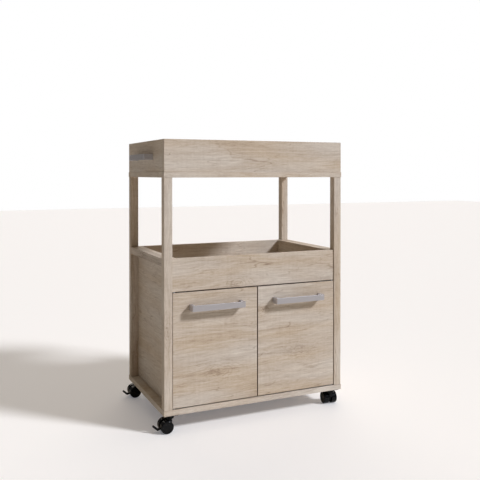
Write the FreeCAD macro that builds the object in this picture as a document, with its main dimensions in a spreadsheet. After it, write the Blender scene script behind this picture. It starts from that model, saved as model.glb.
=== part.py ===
# Serving cart: an open frame of square posts between two boards, with a tray on top, a second tray
# in the middle, a two-door cabinet under it and four twin-wheel casters.
# The frame stands on z = 0. X runs to the right, the doors face -Y, and the origin is under the
# middle of the whole cart, handles included.
import FreeCAD, Part
import os
import re
import Sketcher

# Driving sizes, in millimetres: alias, value, what it is.
SIZES = [
    ("cart_width", 600, "over the posts, left to right"),
    ("cart_depth", 385, "over the posts, front to back"),
    ("caster_height", 52, "floor to the underside of the bottom board"),
    ("board_thickness", 16, "laminated board"),
    ("board_lip", 1.2, "how far the two boards stand out past the posts"),
    ("edge_radius", 0.7, "rounding of the edge bands"),
    ("sheet_thickness", 3, "hardboard back of the cabinet"),
    ("post_size", 25, "square section of a post"),
    ("post_length", 675, "between the two boards"),
    ("rail_size", 25, "side rail, left to right"),
    ("rail_height", 23, "side rail, up and down"),
    ("bottom_gap", 2.8, "under the doors"),
    ("door_height", 336.5, "height of a door"),
    ("top_gap", 3, "above the doors"),
    ("door_side_gap", 1.8, "between a door and its post"),
    ("door_centre_gap", 3, "between the two doors"),
    ("front_setback", 3.2, "lower tray's front board behind the fronts of the posts"),
    ("door_proud", 1.3, "how far the doors stand out past that board"),
    ("tray_board_height", 96.6, "front and back board of the lower tray"),
    ("wall_height", 96, "walls of the top tray"),
    ("shelf_height", 158, "bottom board to the underside of the shelf"),
    ("shelf_setback", 24, "shelf behind the tray's front board"),
    ("shelf_play", 2, "shelf to a side panel"),
    ("pin_radius", 2.5, "shelf pin"),
    ("pin_collar", 4, "radius of a shelf pin's collar"),
    ("collar_width", 1.5, "length of that collar"),
    ("pin_reach", 9, "shelf pin in the panel, and again under the shelf"),
    ("pin_inset", 37, "shelf pins from the shelf's front and back edge"),
    ("pin_pitch", 32, "between the rows of shelf pin holes"),
    ("handle_length", 170, "bridge handle, overall"),
    ("handle_height", 18, "bridge handle, height of its bar"),
    ("handle_projection", 29, "bridge handle, how far it stands out"),
    ("handle_bar", 5, "bridge handle, thickness of its bar"),
    ("handle_leg", 10, "bridge handle, thickness of a leg"),
    ("handle_corner", 2.5, "bridge handle, rounding of its outer corners"),
    ("handle_edge", 0.6, "bridge handle, rounding of its edges"),
    ("handle_drop", 45, "door top to the middle of its handle"),
    ("tray_handle_rise", 46, "top board to the middle of a tray handle"),
    ("bolt_radius", 2, "handle screw"),
    ("bolt_head", 4, "radius of a handle screw's head"),
    ("bolt_head_height", 2.4, "height of that head"),
    ("bolt_grip", 10, "handle screw inside a leg"),
    ("dowel_radius", 4, "wooden dowel"),
    ("dowel_length", 30, "wooden dowel"),
    ("dowel_seat", 11, "dowel in the thinner piece"),
    ("frame_screw_radius", 2.5, "long screw of the frame"),
    ("frame_screw_head", 4.5, "radius of its head"),
    ("frame_screw_head_depth", 3.5, "depth of its head"),
    ("frame_screw_length", 50, "length with the head"),
    ("wood_screw_radius", 1.75, "small countersunk wood screw"),
    ("wood_screw_head", 3.4, "radius of its head"),
    ("wood_screw_head_depth", 1.9, "depth of its head"),
    ("wood_screw_length", 13, "length with the head"),
    ("cross_width", 1.1, "arm of the cross recess in a screw's head"),
    ("cross_depth", 1.2, "depth of that recess"),
    ("screw_clearance", 0.05, "round each screw, pin and dowel"),
    ("hole_end", 0.5, "hole beyond the end of a dowel or screw"),
    ("leaf_thickness", 2.2, "pivot hinge leaf"),
    ("leaf_length", 40, "pivot hinge leaf, from its pin"),
    ("leaf_width", 9, "pivot hinge leaf"),
    ("leaf_neck", 9, "from the pin to the wide part of the leaf"),
    ("leaf_play", 0.15, "leaf in its mortise"),
    ("nose_radius", 2.5, "rounded end of the leaf, round the pin"),
    ("pivot_inset", 5.1, "hinge pin from the door's outer edge"),
    ("pivot_setback", 4.2, "hinge pin behind the door's front"),
    ("hinge_pin_radius", 1.5, "pin of the pivot hinge"),
    ("boss_radius", 2.4, "collar round the pin, in the gap"),
    ("hinge_play", 0.08, "between pin, collar and door leaf"),
    ("catch_length", 46, "base of a magnet catch"),
    ("catch_width", 14, "front to back"),
    ("catch_base", 2.5, "thickness of that base"),
    ("magnet_length", 24, "box of a magnet catch"),
    ("magnet_height", 12, "height with the base"),
    ("catch_offset", 34, "middle of the cart to the middle of a catch"),
    ("strike_length", 34, "strike plate"),
    ("strike_height", 11, "strike plate"),
    ("strike_thickness", 1.5, "strike plate"),
    ("strike_gap", 0.3, "strike plate to catch, and catch to door"),
    ("caster_inset_x", 25, "kingpin from the outer side of the posts"),
    ("caster_inset_y", 22, "kingpin from the front or back of the posts"),
    ("plate_size", 40, "square mounting plate of a caster"),
    ("plate_thickness", 2.2, "mounting plate"),
    ("plate_corner", 4, "its corner radius"),
    ("plate_hole_pitch", 32, "between its screws, both ways"),
    ("kingpin_radius", 3, "kingpin"),
    ("kingpin_length", 16, "kingpin under its plate"),
    ("swivel_gap", 0.5, "plate to housing"),
    ("cap_radius", 11.5, "round head of the housing"),
    ("cap_height", 10, "round head of the housing"),
    ("web_thickness", 9, "housing between the wheels"),
    ("web_radius", 13, "housing round the axle"),
    ("neck_front", 4.5, "front of the neck, from the kingpin's axis"),
    ("wheel_radius", 19, "wheel"),
    ("wheel_width", 17.5, "one wheel"),
    ("wheel_gap", 10, "between the two wheels of a caster"),
    ("wheel_trail", 14.5, "axle behind the kingpin"),
    ("wheel_shoulder", 3, "rounding of the tread's outer edge"),
    ("tread_thickness", 3.5, "ring under the tread"),
    ("dish_radius", 14, "shallow dish in the outer face"),
    ("dish_depth", 0.8, "its depth"),
    ("disc_thickness", 3, "closed outer side of a wheel"),
    ("hub_radius", 6, "hub of a wheel"),
    ("axle_radius", 2.5, "axle"),
    ("axle_seat", 12, "axle inside a wheel"),
    ("axle_play", 0.05, "round the axle, and at the wheels' inner side"),
    ("lever_width", 5, "brake lever, along the axle"),
    ("lever_play", 0.3, "beside the lever"),
    ("lever_ring", 7.5, "lever's ring round the axle"),
    ("lever_thickness", 6, "lever"),
    ("elbow_back", 24, "lever's elbow behind the axle"),
    ("elbow_drop", 9, "lever's elbow below the axle"),
    ("pedal_back", 36.5, "lever's end behind the axle"),
    ("pedal_rise", 2, "lever's end above the axle"),
    ("overrun", 2, "how far a cutting tool runs past a face"),
    ("front_right_turn", -97, "degrees, caster as the photo shows it"),
    ("rear_right_turn", 70, "degrees, caster at rest"),
]

# Places that follow from the sizes. Heights are above the floor.
PLACES = [
    ("half_width", "cart_width / 2"),
    ("posts_front", "(door_proud + handle_projection - front_setback - cart_depth - board_lip) / 2"),
    ("posts_back", "posts_front + cart_depth"),
    ("board_top", "caster_height + board_thickness"),
    ("door_base", "board_top + bottom_gap"),
    ("door_top", "door_base + door_height"),
    ("tray_base", "door_top + top_gap"),
    ("tray_rim", "tray_base + tray_board_height"),
    ("top_base", "board_top + post_length"),
    ("top_face", "top_base + board_thickness"),
    ("post_inner", "half_width - post_size"),
    ("panel_inner", "post_inner - board_thickness"),
    ("tray_front", "posts_front + front_setback"),
    ("front_line", "tray_front + board_thickness"),
    ("back_line", "posts_back - post_size"),
    ("door_front", "tray_front - door_proud"),
    ("door_back", "door_front + board_thickness"),
    ("door_edge", "post_inner - door_side_gap"),
    ("door_middle", "(door_edge + door_centre_gap / 2) / 2"),
    ("pivot_x", "door_edge - pivot_inset"),
    ("pivot_y", "door_front + pivot_setback"),
    ("leaf_middle", "board_thickness / 2 - pivot_setback"),
    ("handle_z", "door_top - handle_drop"),
    ("screw_reach", "handle_length / 2 - handle_leg / 2"),
    ("shelf_base", "board_top + shelf_height"),
    ("caster_x", "half_width - caster_inset_x"),
    ("cap_top", "caster_height - plate_thickness - swivel_gap"),
    ("cap_base", "cap_top - cap_height"),
]

# Half of a square root of two: where a circle meets its own diagonal.
DIAGONAL_SHARE = 0.7071
# Shares of a length at which fasteners sit.
PAIR_SHARES = (0.25, 0.75)
PANEL_SHARES = (0.15, 0.5, 0.85)
WALL_SHARES = (-0.35, 0, 0.35)
SHORT_WALL_SHARES = (-0.25, 0.25)
LEAF_SCREW_SHARES = (0.4, 0.8)
# How far a cross recess reaches, as a share of its head's radius.
CROSS_SHARE = 0.6
# How close two measures have to be to count as the same.
SAME_SHARE = 0.0001

doc = FreeCAD.newDocument("ServingCart")
holes = {}
groups = {}
parts = []


def in_sheets(words):
    """Gives every alias in an expression its sheet's name."""
    sizes = {alias for alias, _, _ in SIZES}
    places = {alias for alias, _ in PLACES}

    def full(match):
        word = match.group(0)
        if word in sizes:
            return "Sizes." + word
        return "Places." + word if word in places else word

    return re.sub(r"[a-z][a-z_0-9]*", full, words)


def make_sheets():
    """The driving sizes as plain numbers, and the places worked out from them."""
    sizes = doc.addObject("Spreadsheet::Sheet", "Sizes")
    for row, (alias, value, note) in enumerate(SIZES, 1):
        sizes.set(f"A{row}", alias)
        sizes.set(f"B{row}", str(value))
        sizes.set(f"C{row}", note)
        sizes.setAlias(f"B{row}", alias)
    places = doc.addObject("Spreadsheet::Sheet", "Places")
    for row, (alias, words) in enumerate(PLACES, 1):
        places.set(f"A{row}", alias)
        places.setAlias(f"B{row}", alias)
    doc.recompute()
    for row, (alias, words) in enumerate(PLACES, 1):
        places.set(f"B{row}", "=" + in_sheets(words).replace("Places.", ""))
    doc.recompute()
    return sizes


def value(words):
    """The number that an expression stands for now."""
    return float(sheet.evalExpression(in_sheets(words)))


# Rotation that turns +Z to each direction.
TURNS = {
    "z": "rotation(vector(0; 0; 1); 0)",
    "-z": "rotation(vector(1; 0; 0); 180)",
    "x": "rotation(vector(0; 1; 0); 90)",
    "-x": "rotation(vector(0; 1; 0); -90)",
    "y": "rotation(vector(1; 0; 0); -90)",
    "-y": "rotation(vector(1; 0; 0); 90)",
}


def pointing(x, y, z, direction):
    """Placement that carries +Z to a direction."""
    return f"placement(vector({x}; {y}; {z}); {TURNS[direction]})"


def turned(x, y, z, degrees="0"):
    """Placement turned about the vertical."""
    return f"placement(vector({x}; {y}; {z}); rotation(vector(0; 0; 1); {degrees}))"


def put(thing, placement):
    thing.setExpression("Placement", in_sheets(placement))
    return thing


def make_body(name):
    body = doc.addObject("PartDesign::Body", name)
    body.Label = name
    return body


def make_sketch(body, role, offset=None):
    """A sketch on one of the body's own planes, moved along the plane's normal."""
    sketch = body.newObject("Sketcher::SketchObject", body.Name + "_sketch")
    plane = [item for item in body.Origin.OriginFeatures if item.Role == role][0]
    sketch.AttachmentSupport = (plane, [""])
    sketch.MapMode = "FlatFace"
    if offset:
        sketch.setExpression("AttachmentOffset.Base.z", in_sheets(offset))
    return sketch


def hold(sketch, kind, geometry, point, words):
    """Ties one coordinate of a point to an expression."""
    index = sketch.addConstraint(Sketcher.Constraint(kind, -1, 1, geometry, point, value(words)))
    sketch.setExpression(f"Constraints[{index}]", in_sheets(words))


def draw_outline(sketch, corners):
    """Closed outline of straight lines through corners, each held by its own two sizes."""
    spots = [FreeCAD.Vector(value(across), value(up), 0) for across, up in corners]
    first = sketch.GeometryCount
    count = len(corners)
    for number in range(count):
        sketch.addGeometry(Part.LineSegment(spots[number], spots[(number + 1) % count]), False)
    for number in range(count):
        after = first + (number + 1) % count
        sketch.addConstraint(Sketcher.Constraint("Coincident", first + number, 2, after, 1))
    for number, (across, up) in enumerate(corners):
        hold(sketch, "DistanceX", first + number, 1, across)
        hold(sketch, "DistanceY", first + number, 1, up)


def draw_rectangle(sketch, left, low, right, high):
    draw_outline(sketch, [(left, low), (right, low), (right, high), (left, high)])


def draw_circle(sketch, across, up, radius):
    middle = FreeCAD.Vector(value(across), value(up), 0)
    number = sketch.addGeometry(Part.Circle(middle, FreeCAD.Vector(0, 0, 1), value(radius)), False)
    index = sketch.addConstraint(Sketcher.Constraint("Radius", number, value(radius)))
    sketch.setExpression(f"Constraints[{index}]", in_sheets(radius))
    hold(sketch, "DistanceX", number, 3, across)
    hold(sketch, "DistanceY", number, 3, up)


def pad(body, sketch, length, middle=False):
    feature = body.newObject("PartDesign::Pad", body.Name + "_pad")
    feature.Profile = sketch
    feature.setExpression("Length", in_sheets(length))
    feature.Midplane = middle
    return feature


def pocket(body, sketch, length, middle=False):
    """Cuts a sketch's outline away and makes sure that something was cut."""
    doc.recompute()
    before = body.Shape.Volume
    feature = body.newObject("PartDesign::Pocket", body.Name + "_pocket")
    feature.Profile = sketch
    feature.setExpression("Length", in_sheets(length))
    feature.Midplane = middle
    doc.recompute()
    assert body.Shape.Volume < before, body.Name + ": the pocket cuts nothing"
    return feature


def revolve(body, sketch):
    feature = body.newObject("PartDesign::Revolution", body.Name + "_turned")
    feature.Profile = sketch
    feature.ReferenceAxis = (sketch, ["V_Axis"])
    feature.Angle = 360
    return feature


def round_edges(body, radius, chosen=None):
    """Rounds the chosen edges of the body's last feature, or all of them."""
    doc.recompute()
    base = body.Tip
    feature = body.newObject("PartDesign::Fillet", body.Name + "_rounding")
    if chosen is None:
        feature.Base = (base, [""])
        feature.UseAllEdges = True
    else:
        names = [f"Edge{number}" for number, edge in enumerate(base.Shape.Edges, 1) if chosen(edge)]
        feature.Base = (base, names)
    feature.setExpression("Radius", in_sheets(radius))
    return feature


def upright(edge):
    """True for a straight edge that runs along Z."""
    box = edge.BoundBox
    return len(edge.Vertexes) == 2 and box.XLength + box.YLength < box.ZLength * SAME_SHARE


def make_block(name, low, high, radius="edge_radius"):
    """A board, post or plate between two corners, with rounded edges."""
    body = make_body(name)
    sketch = make_sketch(body, "XY_Plane")
    draw_rectangle(sketch, "0", "0", f"{high[0]} - ({low[0]})", f"{high[1]} - ({low[1]})")
    pad(body, sketch, f"{high[2]} - ({low[2]})")
    if radius:
        round_edges(body, radius)
    return put(body, turned(*low))


def drill(tool, *names):
    """Notes that a tool cuts these pieces when they are finished."""
    for name in names:
        holes.setdefault(name, []).append(tool)


def finish_piece(blank):
    """Cuts the noted holes out of a blank and makes the result a part of the cart."""
    name = blank.Label
    if name not in holes:
        parts.append(blank)
        return blank
    blank.Label = name + "_blank"
    tools = doc.addObject("Part::Compound", name + "_holes")
    tools.Links = holes[name]
    piece = doc.addObject("Part::Cut", name + "_drilled")
    piece.Base = blank
    piece.Tool = tools
    piece.Label = name
    parts.append(piece)
    return piece


def copy_of(unit, name, placement):
    link = doc.addObject("App::Link", name)
    link.LinkedObject = unit
    return put(link, placement)


def gather(name, pieces):
    """Like pieces that share one file, each a solid of its own."""
    group = doc.addObject("Part::Compound", name)
    group.Links = pieces
    group.Label = name
    parts.append(group)
    return group


def turned_unit(name, corners):
    """A piece turned about Z, from its outline of radius and height."""
    body = make_body(name)
    sketch = make_sketch(body, "XZ_Plane")
    draw_outline(sketch, corners)
    revolve(body, sketch)
    return body


def cut_cross(body, head, face="0"):
    """Cross recess in a screw's head, for the driver."""
    reach, half = f"{head} * {CROSS_SHARE}", "cross_width / 2"
    for across, up in ((reach, half), (half, reach)):
        sketch = make_sketch(body, "XY_Plane", face)
        draw_rectangle(sketch, f"-{across}", f"-{up}", across, up)
        pocket(body, sketch, "cross_depth * 2", middle=True)


class Fastener:
    """One kind of screw, dowel or pin, the hole that it needs, and where each one goes."""

    def __init__(self, name, corners, hole_corners):
        self.unit = turned_unit(name + "_unit", corners)
        self.hole = turned_unit(name + "_hole", hole_corners)

    def set_in(self, group, placement, *pieces):
        members = groups.setdefault(group, [])
        number = f"{len(members) + 1}"
        members.append(copy_of(self.unit, f"{group}_{number}", placement))
        drill(copy_of(self.hole, f"{group}_hole_{number}", placement), *pieces)


def countersunk(radius, head, depth, length, extra):
    """Outline of a countersunk screw that points along +Z from its head's face."""
    return [("0", f"-({extra})"), (f"{head} + {extra}", f"-({extra})"), (f"{head} + {extra}", "0"),
            (f"{radius} + {extra}", depth), (f"{radius} + {extra}", f"{length} + {extra}"),
            ("0", f"{length} + {extra}")]


def make_fasteners():
    """Two kinds of countersunk screw, the handle screw, the dowel and the shelf pin."""
    kinds = {}
    for name in ("frame_screw", "wood_screw"):
        sizes = [f"{name}_{word}" for word in ("radius", "head", "head_depth", "length")]
        solid = [("0", "0"), (sizes[1], "0"), (sizes[0], sizes[2]), (sizes[0], sizes[3]), ("0", sizes[3])]
        kinds[name] = Fastener(name, solid, countersunk(*sizes, "screw_clearance"))
        cut_cross(kinds[name].unit, sizes[1])
    bolt = [("0", "-bolt_head_height"), ("bolt_head", "-bolt_head_height"), ("bolt_head", "0"),
            ("bolt_radius", "0"), ("bolt_radius", "board_thickness + bolt_grip"),
            ("0", "board_thickness + bolt_grip")]
    bore = ["bolt_radius + screw_clearance", "board_thickness + bolt_grip + hole_end"]
    kinds["bolt"] = Fastener("bolt", bolt, [("0", "0"), (bore[0], "0"), (bore[0], bore[1]), ("0", bore[1])])
    cut_cross(kinds["bolt"].unit, "bolt_head", "-bolt_head_height")
    rod = ["dowel_radius", "dowel_length - dowel_seat", "dowel_seat"]
    bore = [rod[0] + " + screw_clearance", rod[1] + " + hole_end", f"-({rod[2]} + hole_end)"]
    kinds["dowel"] = Fastener(
        "dowel", [("0", f"-{rod[2]}"), (rod[0], f"-{rod[2]}"), (rod[0], rod[1]), ("0", rod[1])],
        [("0", bore[2]), (bore[0], bore[2]), (bore[0], bore[1]), ("0", bore[1])])
    pin = [("0", "-pin_reach"), ("pin_radius", "-pin_reach"), ("pin_radius", "0"), ("pin_collar", "0"),
           ("pin_collar", "collar_width"), ("pin_radius", "collar_width"), ("pin_radius", "pin_reach"),
           ("0", "pin_reach")]
    bore = ["pin_radius + screw_clearance", "-(pin_reach + hole_end)"]
    kinds["pin"] = Fastener("pin", pin, [("0", bore[1]), (bore[0], bore[1]), (bore[0], "0"), ("0", "0")])
    return kinds


def side_of(side, words):
    """A place on the left or right half: the same words, with X negated on the left."""
    return f"-({words})" if side == "left" else words


def span(side, inner, outer):
    """Lowest and highest X of a piece between two distances from the middle."""
    return (f"-({outer})", f"-({inner})") if side == "left" else (inner, outer)


def make_frame_blanks():
    """Boards, posts, rails, panels and tray walls, as blanks before drilling."""
    blanks = {}

    def add(name, low, high):
        blanks[name] = make_block(name, low, high)

    edge = "half_width + board_lip"
    for name, base in (("bottom_board", "caster_height"), ("top_board", "top_base")):
        add(name, (f"-({edge})", "posts_front - board_lip", base),
            (edge, "posts_back + board_lip", f"{base} + board_thickness"))
    for side in ("left", "right"):
        low, high = span(side, "post_inner", "half_width")
        add(f"front_{side}_post", (low, "posts_front", "board_top"),
            (high, "posts_front + post_size", "top_base"))
        add(f"rear_{side}_post", (low, "back_line", "board_top"), (high, "posts_back", "top_base"))
        low, high = span(side, "half_width - rail_size", "half_width")
        add(f"{side}_side_rail", (low, "posts_front + post_size", "tray_rim - rail_height"),
            (high, "back_line", "tray_rim"))
        low, high = span(side, "panel_inner", "post_inner")
        add(f"{side}_side_panel", (low, "front_line", "board_top"), (high, "back_line", "tray_rim"))
        low, high = span(side, "half_width - board_thickness", "half_width")
        add(f"top_tray_{side}_wall", (low, "posts_front + board_thickness", "top_face"),
            (high, "posts_back - board_thickness", "top_face + wall_height"))
    add("lower_tray_front", ("-post_inner", "tray_front", "tray_base"),
        ("post_inner", "front_line", "tray_rim"))
    add("lower_tray_back", ("-post_inner", "back_line", "tray_base"),
        ("post_inner", "back_line + board_thickness", "tray_rim"))
    add("lower_tray_floor", ("-panel_inner", "front_line", "tray_base"),
        ("panel_inner", "back_line", "tray_base + board_thickness"))
    add("top_tray_front_wall", ("-half_width", "posts_front", "top_face"),
        ("half_width", "posts_front + board_thickness", "top_face + wall_height"))
    add("top_tray_back_wall", ("-half_width", "posts_back - board_thickness", "top_face"),
        ("half_width", "posts_back", "top_face + wall_height"))
    add("cabinet_shelf", ("-(panel_inner - shelf_play)", "front_line + shelf_setback", "shelf_base"),
        ("panel_inner - shelf_play", "back_line - shelf_play", "shelf_base + board_thickness"))
    blanks["cabinet_back"] = make_block("cabinet_back", ("-post_inner", "back_line", "board_top"),
                                        ("post_inner", "back_line + sheet_thickness", "tray_base"), None)
    return blanks


def join_frame(kinds):
    """Dowels and long screws that hold the frame together."""
    dowel, screw = kinds["dowel"], kinds["frame_screw"]
    for side in ("left", "right"):
        out, into = ("-x", "x") if side == "left" else ("x", "-x")
        post = side_of(side, "half_width - post_size / 2")
        rail = side_of(side, "half_width - rail_size / 2")
        rail_z = "tray_rim - rail_height / 2"
        dowel.set_in("dowels", pointing(rail, "posts_front + post_size", rail_z, "y"),
                     f"front_{side}_post", f"{side}_side_rail")
        dowel.set_in("dowels", pointing(rail, "back_line", rail_z, "-y"),
                     f"rear_{side}_post", f"{side}_side_rail")
        for share in PAIR_SHARES:
            height = f"tray_base + tray_board_height * {share}"
            for name, row, face in (("front", "front", "tray_front"), ("back", "rear", "back_line")):
                dowel.set_in("dowels", pointing(side_of(side, "post_inner"),
                                                f"{face} + board_thickness / 2", height, into),
                             f"{row}_{side}_post", f"lower_tray_{name}")
            along = f"front_line + (back_line - front_line) * {share}"
            dowel.set_in("dowels", pointing(side_of(side, "panel_inner"), along,
                                            "tray_base + board_thickness / 2", into),
                         f"{side}_side_panel", "lower_tray_floor")
            dowel.set_in("dowels", pointing(side_of(side, "post_inner"), along, rail_z, out),
                         f"{side}_side_panel", f"{side}_side_rail")
        for name, face, direction in (("front", "front_line", "y"), ("back", "back_line", "-y")):
            dowel.set_in("dowels", pointing(side_of(side, "panel_inner / 2"), face,
                                            "tray_base + board_thickness / 2", direction),
                         f"lower_tray_{name}", "lower_tray_floor")
        rows = (("front", "posts_front + post_size / 2"), ("rear", "posts_back - post_size / 2"))
        for row, middle in rows:
            screw.set_in("frame_screws", pointing(post, middle, "caster_height", "z"),
                         "bottom_board", f"{row}_{side}_post")
            screw.set_in("frame_screws", pointing(post, middle, "top_face", "-z"),
                         "top_board", f"{row}_{side}_post")
        for share in PANEL_SHARES:
            along = f"front_line + (back_line - front_line) * {share}"
            middle = side_of(side, "panel_inner + board_thickness / 2")
            screw.set_in("frame_screws", pointing(middle, along, "caster_height", "z"),
                         "bottom_board", f"{side}_side_panel")
        wall = side_of(side, "half_width - board_thickness / 2")
        for share in SHORT_WALL_SHARES:
            along = f"(posts_front + posts_back) / 2 + cart_depth * {share}"
            screw.set_in("frame_screws", pointing(wall, along, "top_base", "z"),
                         "top_board", f"top_tray_{side}_wall")
    for share in WALL_SHARES:
        for name, row in (("front", "posts_front + board_thickness / 2"),
                          ("back", "posts_back - board_thickness / 2")):
            screw.set_in("frame_screws", pointing(f"cart_width * {share}", row, "top_base", "z"),
                         "top_board", f"top_tray_{name}_wall")


def set_shelf_pins(kinds):
    """Four pins under the shelf, and a spare row of holes above and below them."""
    pin = kinds["pin"]
    height = "shelf_base - pin_radius - screw_clearance"
    for side in ("left", "right"):
        into = "x" if side == "left" else "-x"
        for row in ("front_line + shelf_setback + pin_inset", "back_line - shelf_play - pin_inset"):
            face = side_of(side, "panel_inner")
            pin.set_in("shelf_pins", pointing(face, row, height, into), f"{side}_side_panel")
            for step in ("-1", "1"):
                spare = pointing(face, row, f"{height} + pin_pitch * {step}", into)
                drill(copy_of(pin.hole, "spare_pin_hole", spare), f"{side}_side_panel")


def make_handle(name, x, y, z, turn, kinds, group, panel):
    """Bridge handle: a bar on two legs, held by two screws through its panel."""
    body = make_body(name)
    sketch = make_sketch(body, "XY_Plane")
    end = "handle_length / 2"
    inside = "handle_length / 2 - handle_leg"
    front = "-handle_projection"
    behind = "-(handle_projection - handle_bar)"
    draw_outline(sketch, [(f"-({end})", "0"), (f"-({end})", front), (end, front), (end, "0"),
                          (inside, "0"), (inside, behind), (f"-({inside})", behind), (f"-({inside})", "0")])
    pad(body, sketch, "handle_height", middle=True)

    def outer_corner(edge):
        box = edge.BoundBox
        return (upright(edge) and box.YMin < -value("handle_projection / 2")
                and abs(box.XMin) > value("screw_reach"))

    def level_edge(edge):
        box = edge.BoundBox
        small = value("handle_edge")
        return box.YMin < -small and box.ZLength < small < edge.Length

    round_edges(body, "handle_corner", outer_corner)
    round_edges(body, "handle_edge", level_edge)
    put(body, turned(x, y, z, turn))
    away = {"0": ("0", "1", "-y"), "-90": ("1", "0", "-x"), "90": ("-1", "0", "x")}[turn]
    for step in ("-1", "1"):
        reach = f"screw_reach * {step}"
        spot_x = f"{x} + board_thickness * {away[0]} + {reach} * {away[1]}"
        spot_y = f"{y} + board_thickness * {away[1]} + {reach} * {away[0]}"
        kinds["bolt"].set_in(group, pointing(spot_x, spot_y, z, away[2]), panel, name)
    return body


def leaf_outline(side, play):
    """Corners of a leaf's web and plate, from its pin, pointing to the middle of the cart."""
    nose = f"(nose_radius + {play})"
    half = f"(leaf_width / 2 + {play})"
    way = "1" if side == "left" else "-1"
    neck, end = f"(leaf_neck - {play}) * {way}", f"(leaf_length + {play}) * {way}"
    low, high = f"leaf_middle - {half}", f"leaf_middle + {half}"
    corner = f"{nose} * {DIAGONAL_SHARE}"
    web = [("0", f"-{nose}"), (neck, low), (neck, high), (f"-{corner} * {way}", corner)]
    return nose, web, [(neck, low), (end, low), (end, high), (neck, high)]


def make_leaf(name, side, thickness, play="0"):
    """Flat hinge leaf with its nose round the pin, lying above its body's XY plane."""
    body = make_body(name)
    nose, web, plate = leaf_outline(side, play)
    sketch = make_sketch(body, "XY_Plane")
    draw_circle(sketch, "0", "0", nose)
    pad(body, sketch, thickness)
    for corners in (web, plate):
        sketch = make_sketch(body, "XY_Plane")
        draw_outline(sketch, corners)
        pad(body, sketch, thickness)
    return body


def make_hinges(side, kinds):
    """Pivot hinges of one door: leaf with pin in the case, leaf with hole in the door, both ends."""
    x = side_of(side, "pivot_x")
    way = "1" if side == "left" else "-1"
    door_leaves, case_leaves = [], []
    ends = (("top", "door_top - leaf_thickness", "tray_base", "lower_tray_front", "-z", "z", "top_gap"),
            ("bottom", "door_base", "board_top - leaf_thickness", "bottom_board", "z", "-z", "bottom_gap"))
    depth = "leaf_thickness + leaf_play + overrun"
    for end, door_z, case_z, case_piece, door_way, case_way, gap in ends:
        name = f"{side}_{end}_door"
        leaf = put(make_leaf(name + "_leaf", side, "leaf_thickness"), turned(x, "pivot_y", door_z))
        room = make_leaf(name + "_mortise", side, depth, "leaf_play")
        low = "door_top - leaf_thickness - leaf_play" if end == "top" else "door_base - overrun"
        drill(put(room, turned(x, "pivot_y", low)), f"{side}_door")
        door_leaves.append(finish_hinge_leaf(leaf, side, kinds, x, door_z, door_way, f"{side}_door"))
        name = f"{side}_{end}_case"
        leaf = put(make_leaf(name + "_leaf", side, "leaf_thickness"), turned(x, "pivot_y", case_z))
        add_hinge_pin(leaf, end, gap)
        room = make_leaf(name + "_mortise", side, depth, "leaf_play")
        low = "tray_base - overrun" if end == "top" else "board_top - leaf_thickness - leaf_play"
        drill(put(room, turned(x, "pivot_y", low)), case_piece)
        case_leaves.append(finish_hinge_leaf(leaf, side, kinds, x, case_z, case_way, case_piece))
    return door_leaves, case_leaves


def add_hinge_pin(leaf, end, gap):
    """Pin and collar on a case leaf, reaching through the gap into the door."""
    start = "0" if end == "top" else "leaf_thickness"
    for radius, length in (("boss_radius", f"{gap} - hinge_play"),
                           ("hinge_pin_radius", f"{gap} + leaf_thickness - hinge_play")):
        sketch = make_sketch(leaf, "XY_Plane", start if end == "bottom" else f"-({length})")
        draw_circle(sketch, "0", "0", radius)
        pad(leaf, sketch, length)


def finish_hinge_leaf(leaf, side, kinds, x, z, direction, piece):
    """Screw holes in a leaf and in what carries it, and the pin's hole in a door leaf."""
    way = "1" if side == "left" else "-1"
    name = leaf.Label
    in_door = "door_leaf" in name
    group = f"{side}_door_screws" if in_door else "wood_screws"
    face = f"{z} + leaf_thickness" if direction == "-z" else z
    for share in LEAF_SCREW_SHARES:
        spot = pointing(f"{x} + leaf_length * {share} * {way}",
                        "pivot_y + leaf_middle", face, direction)
        kinds["wood_screw"].set_in(group, spot, name, piece)
    if in_door:
        hole = make_body(name + "_pin_hole")
        sketch = make_sketch(hole, "XY_Plane")
        draw_circle(sketch, "0", "0", "hinge_pin_radius + hinge_play")
        pad(hole, sketch, "leaf_thickness + overrun * 2")
        drill(put(hole, turned(x, "pivot_y", f"{z} - overrun")), name)
    return leaf


def cut_leaf(leaf):
    """A finished hinge leaf, kept out of the list of parts because it joins a group."""
    piece = finish_piece(leaf)
    parts.remove(piece)
    return piece


def make_doors(kinds):
    """Both doors with their handles, hinge leaves and strike plates."""
    case_leaves = []
    for side in ("left", "right"):
        low, high = span(side, "door_centre_gap / 2", "door_edge")
        name = f"{side}_door"
        blank = make_block(name, (low, "door_front", "door_base"), (high, "door_back", "door_top"))
        handle = make_handle(f"{side}_door_handle", side_of(side, "door_middle"), "door_front", "handle_z",
                             "0", kinds, f"{side}_door_screws", name)
        door_leaves, case = make_hinges(side, kinds)
        case_leaves += case
        strike = make_strike(side, kinds)
        finish_piece(blank)
        finish_piece(handle)
        finish_piece(strike)
        gather(f"{side}_door_hinge_leaves", [cut_leaf(leaf) for leaf in door_leaves])
    return case_leaves


def make_strike(side, kinds):
    """Steel plate on the door's back that the magnet holds."""
    name = f"{side}_strike_plate"
    middle = side_of(side, "catch_offset")
    low_z = "door_top - strike_gap - strike_height"
    strike = make_block(name, (f"{middle} - strike_length / 2", "door_back", low_z),
                        (f"{middle} + strike_length / 2", "door_back + strike_thickness",
                         f"{low_z} + strike_height"), None)
    spot = pointing(middle, "door_back + strike_thickness", f"{low_z} + strike_height / 2", "-y")
    kinds["wood_screw"].set_in(f"{side}_door_screws", spot, name, f"{side}_door")
    return strike


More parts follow.
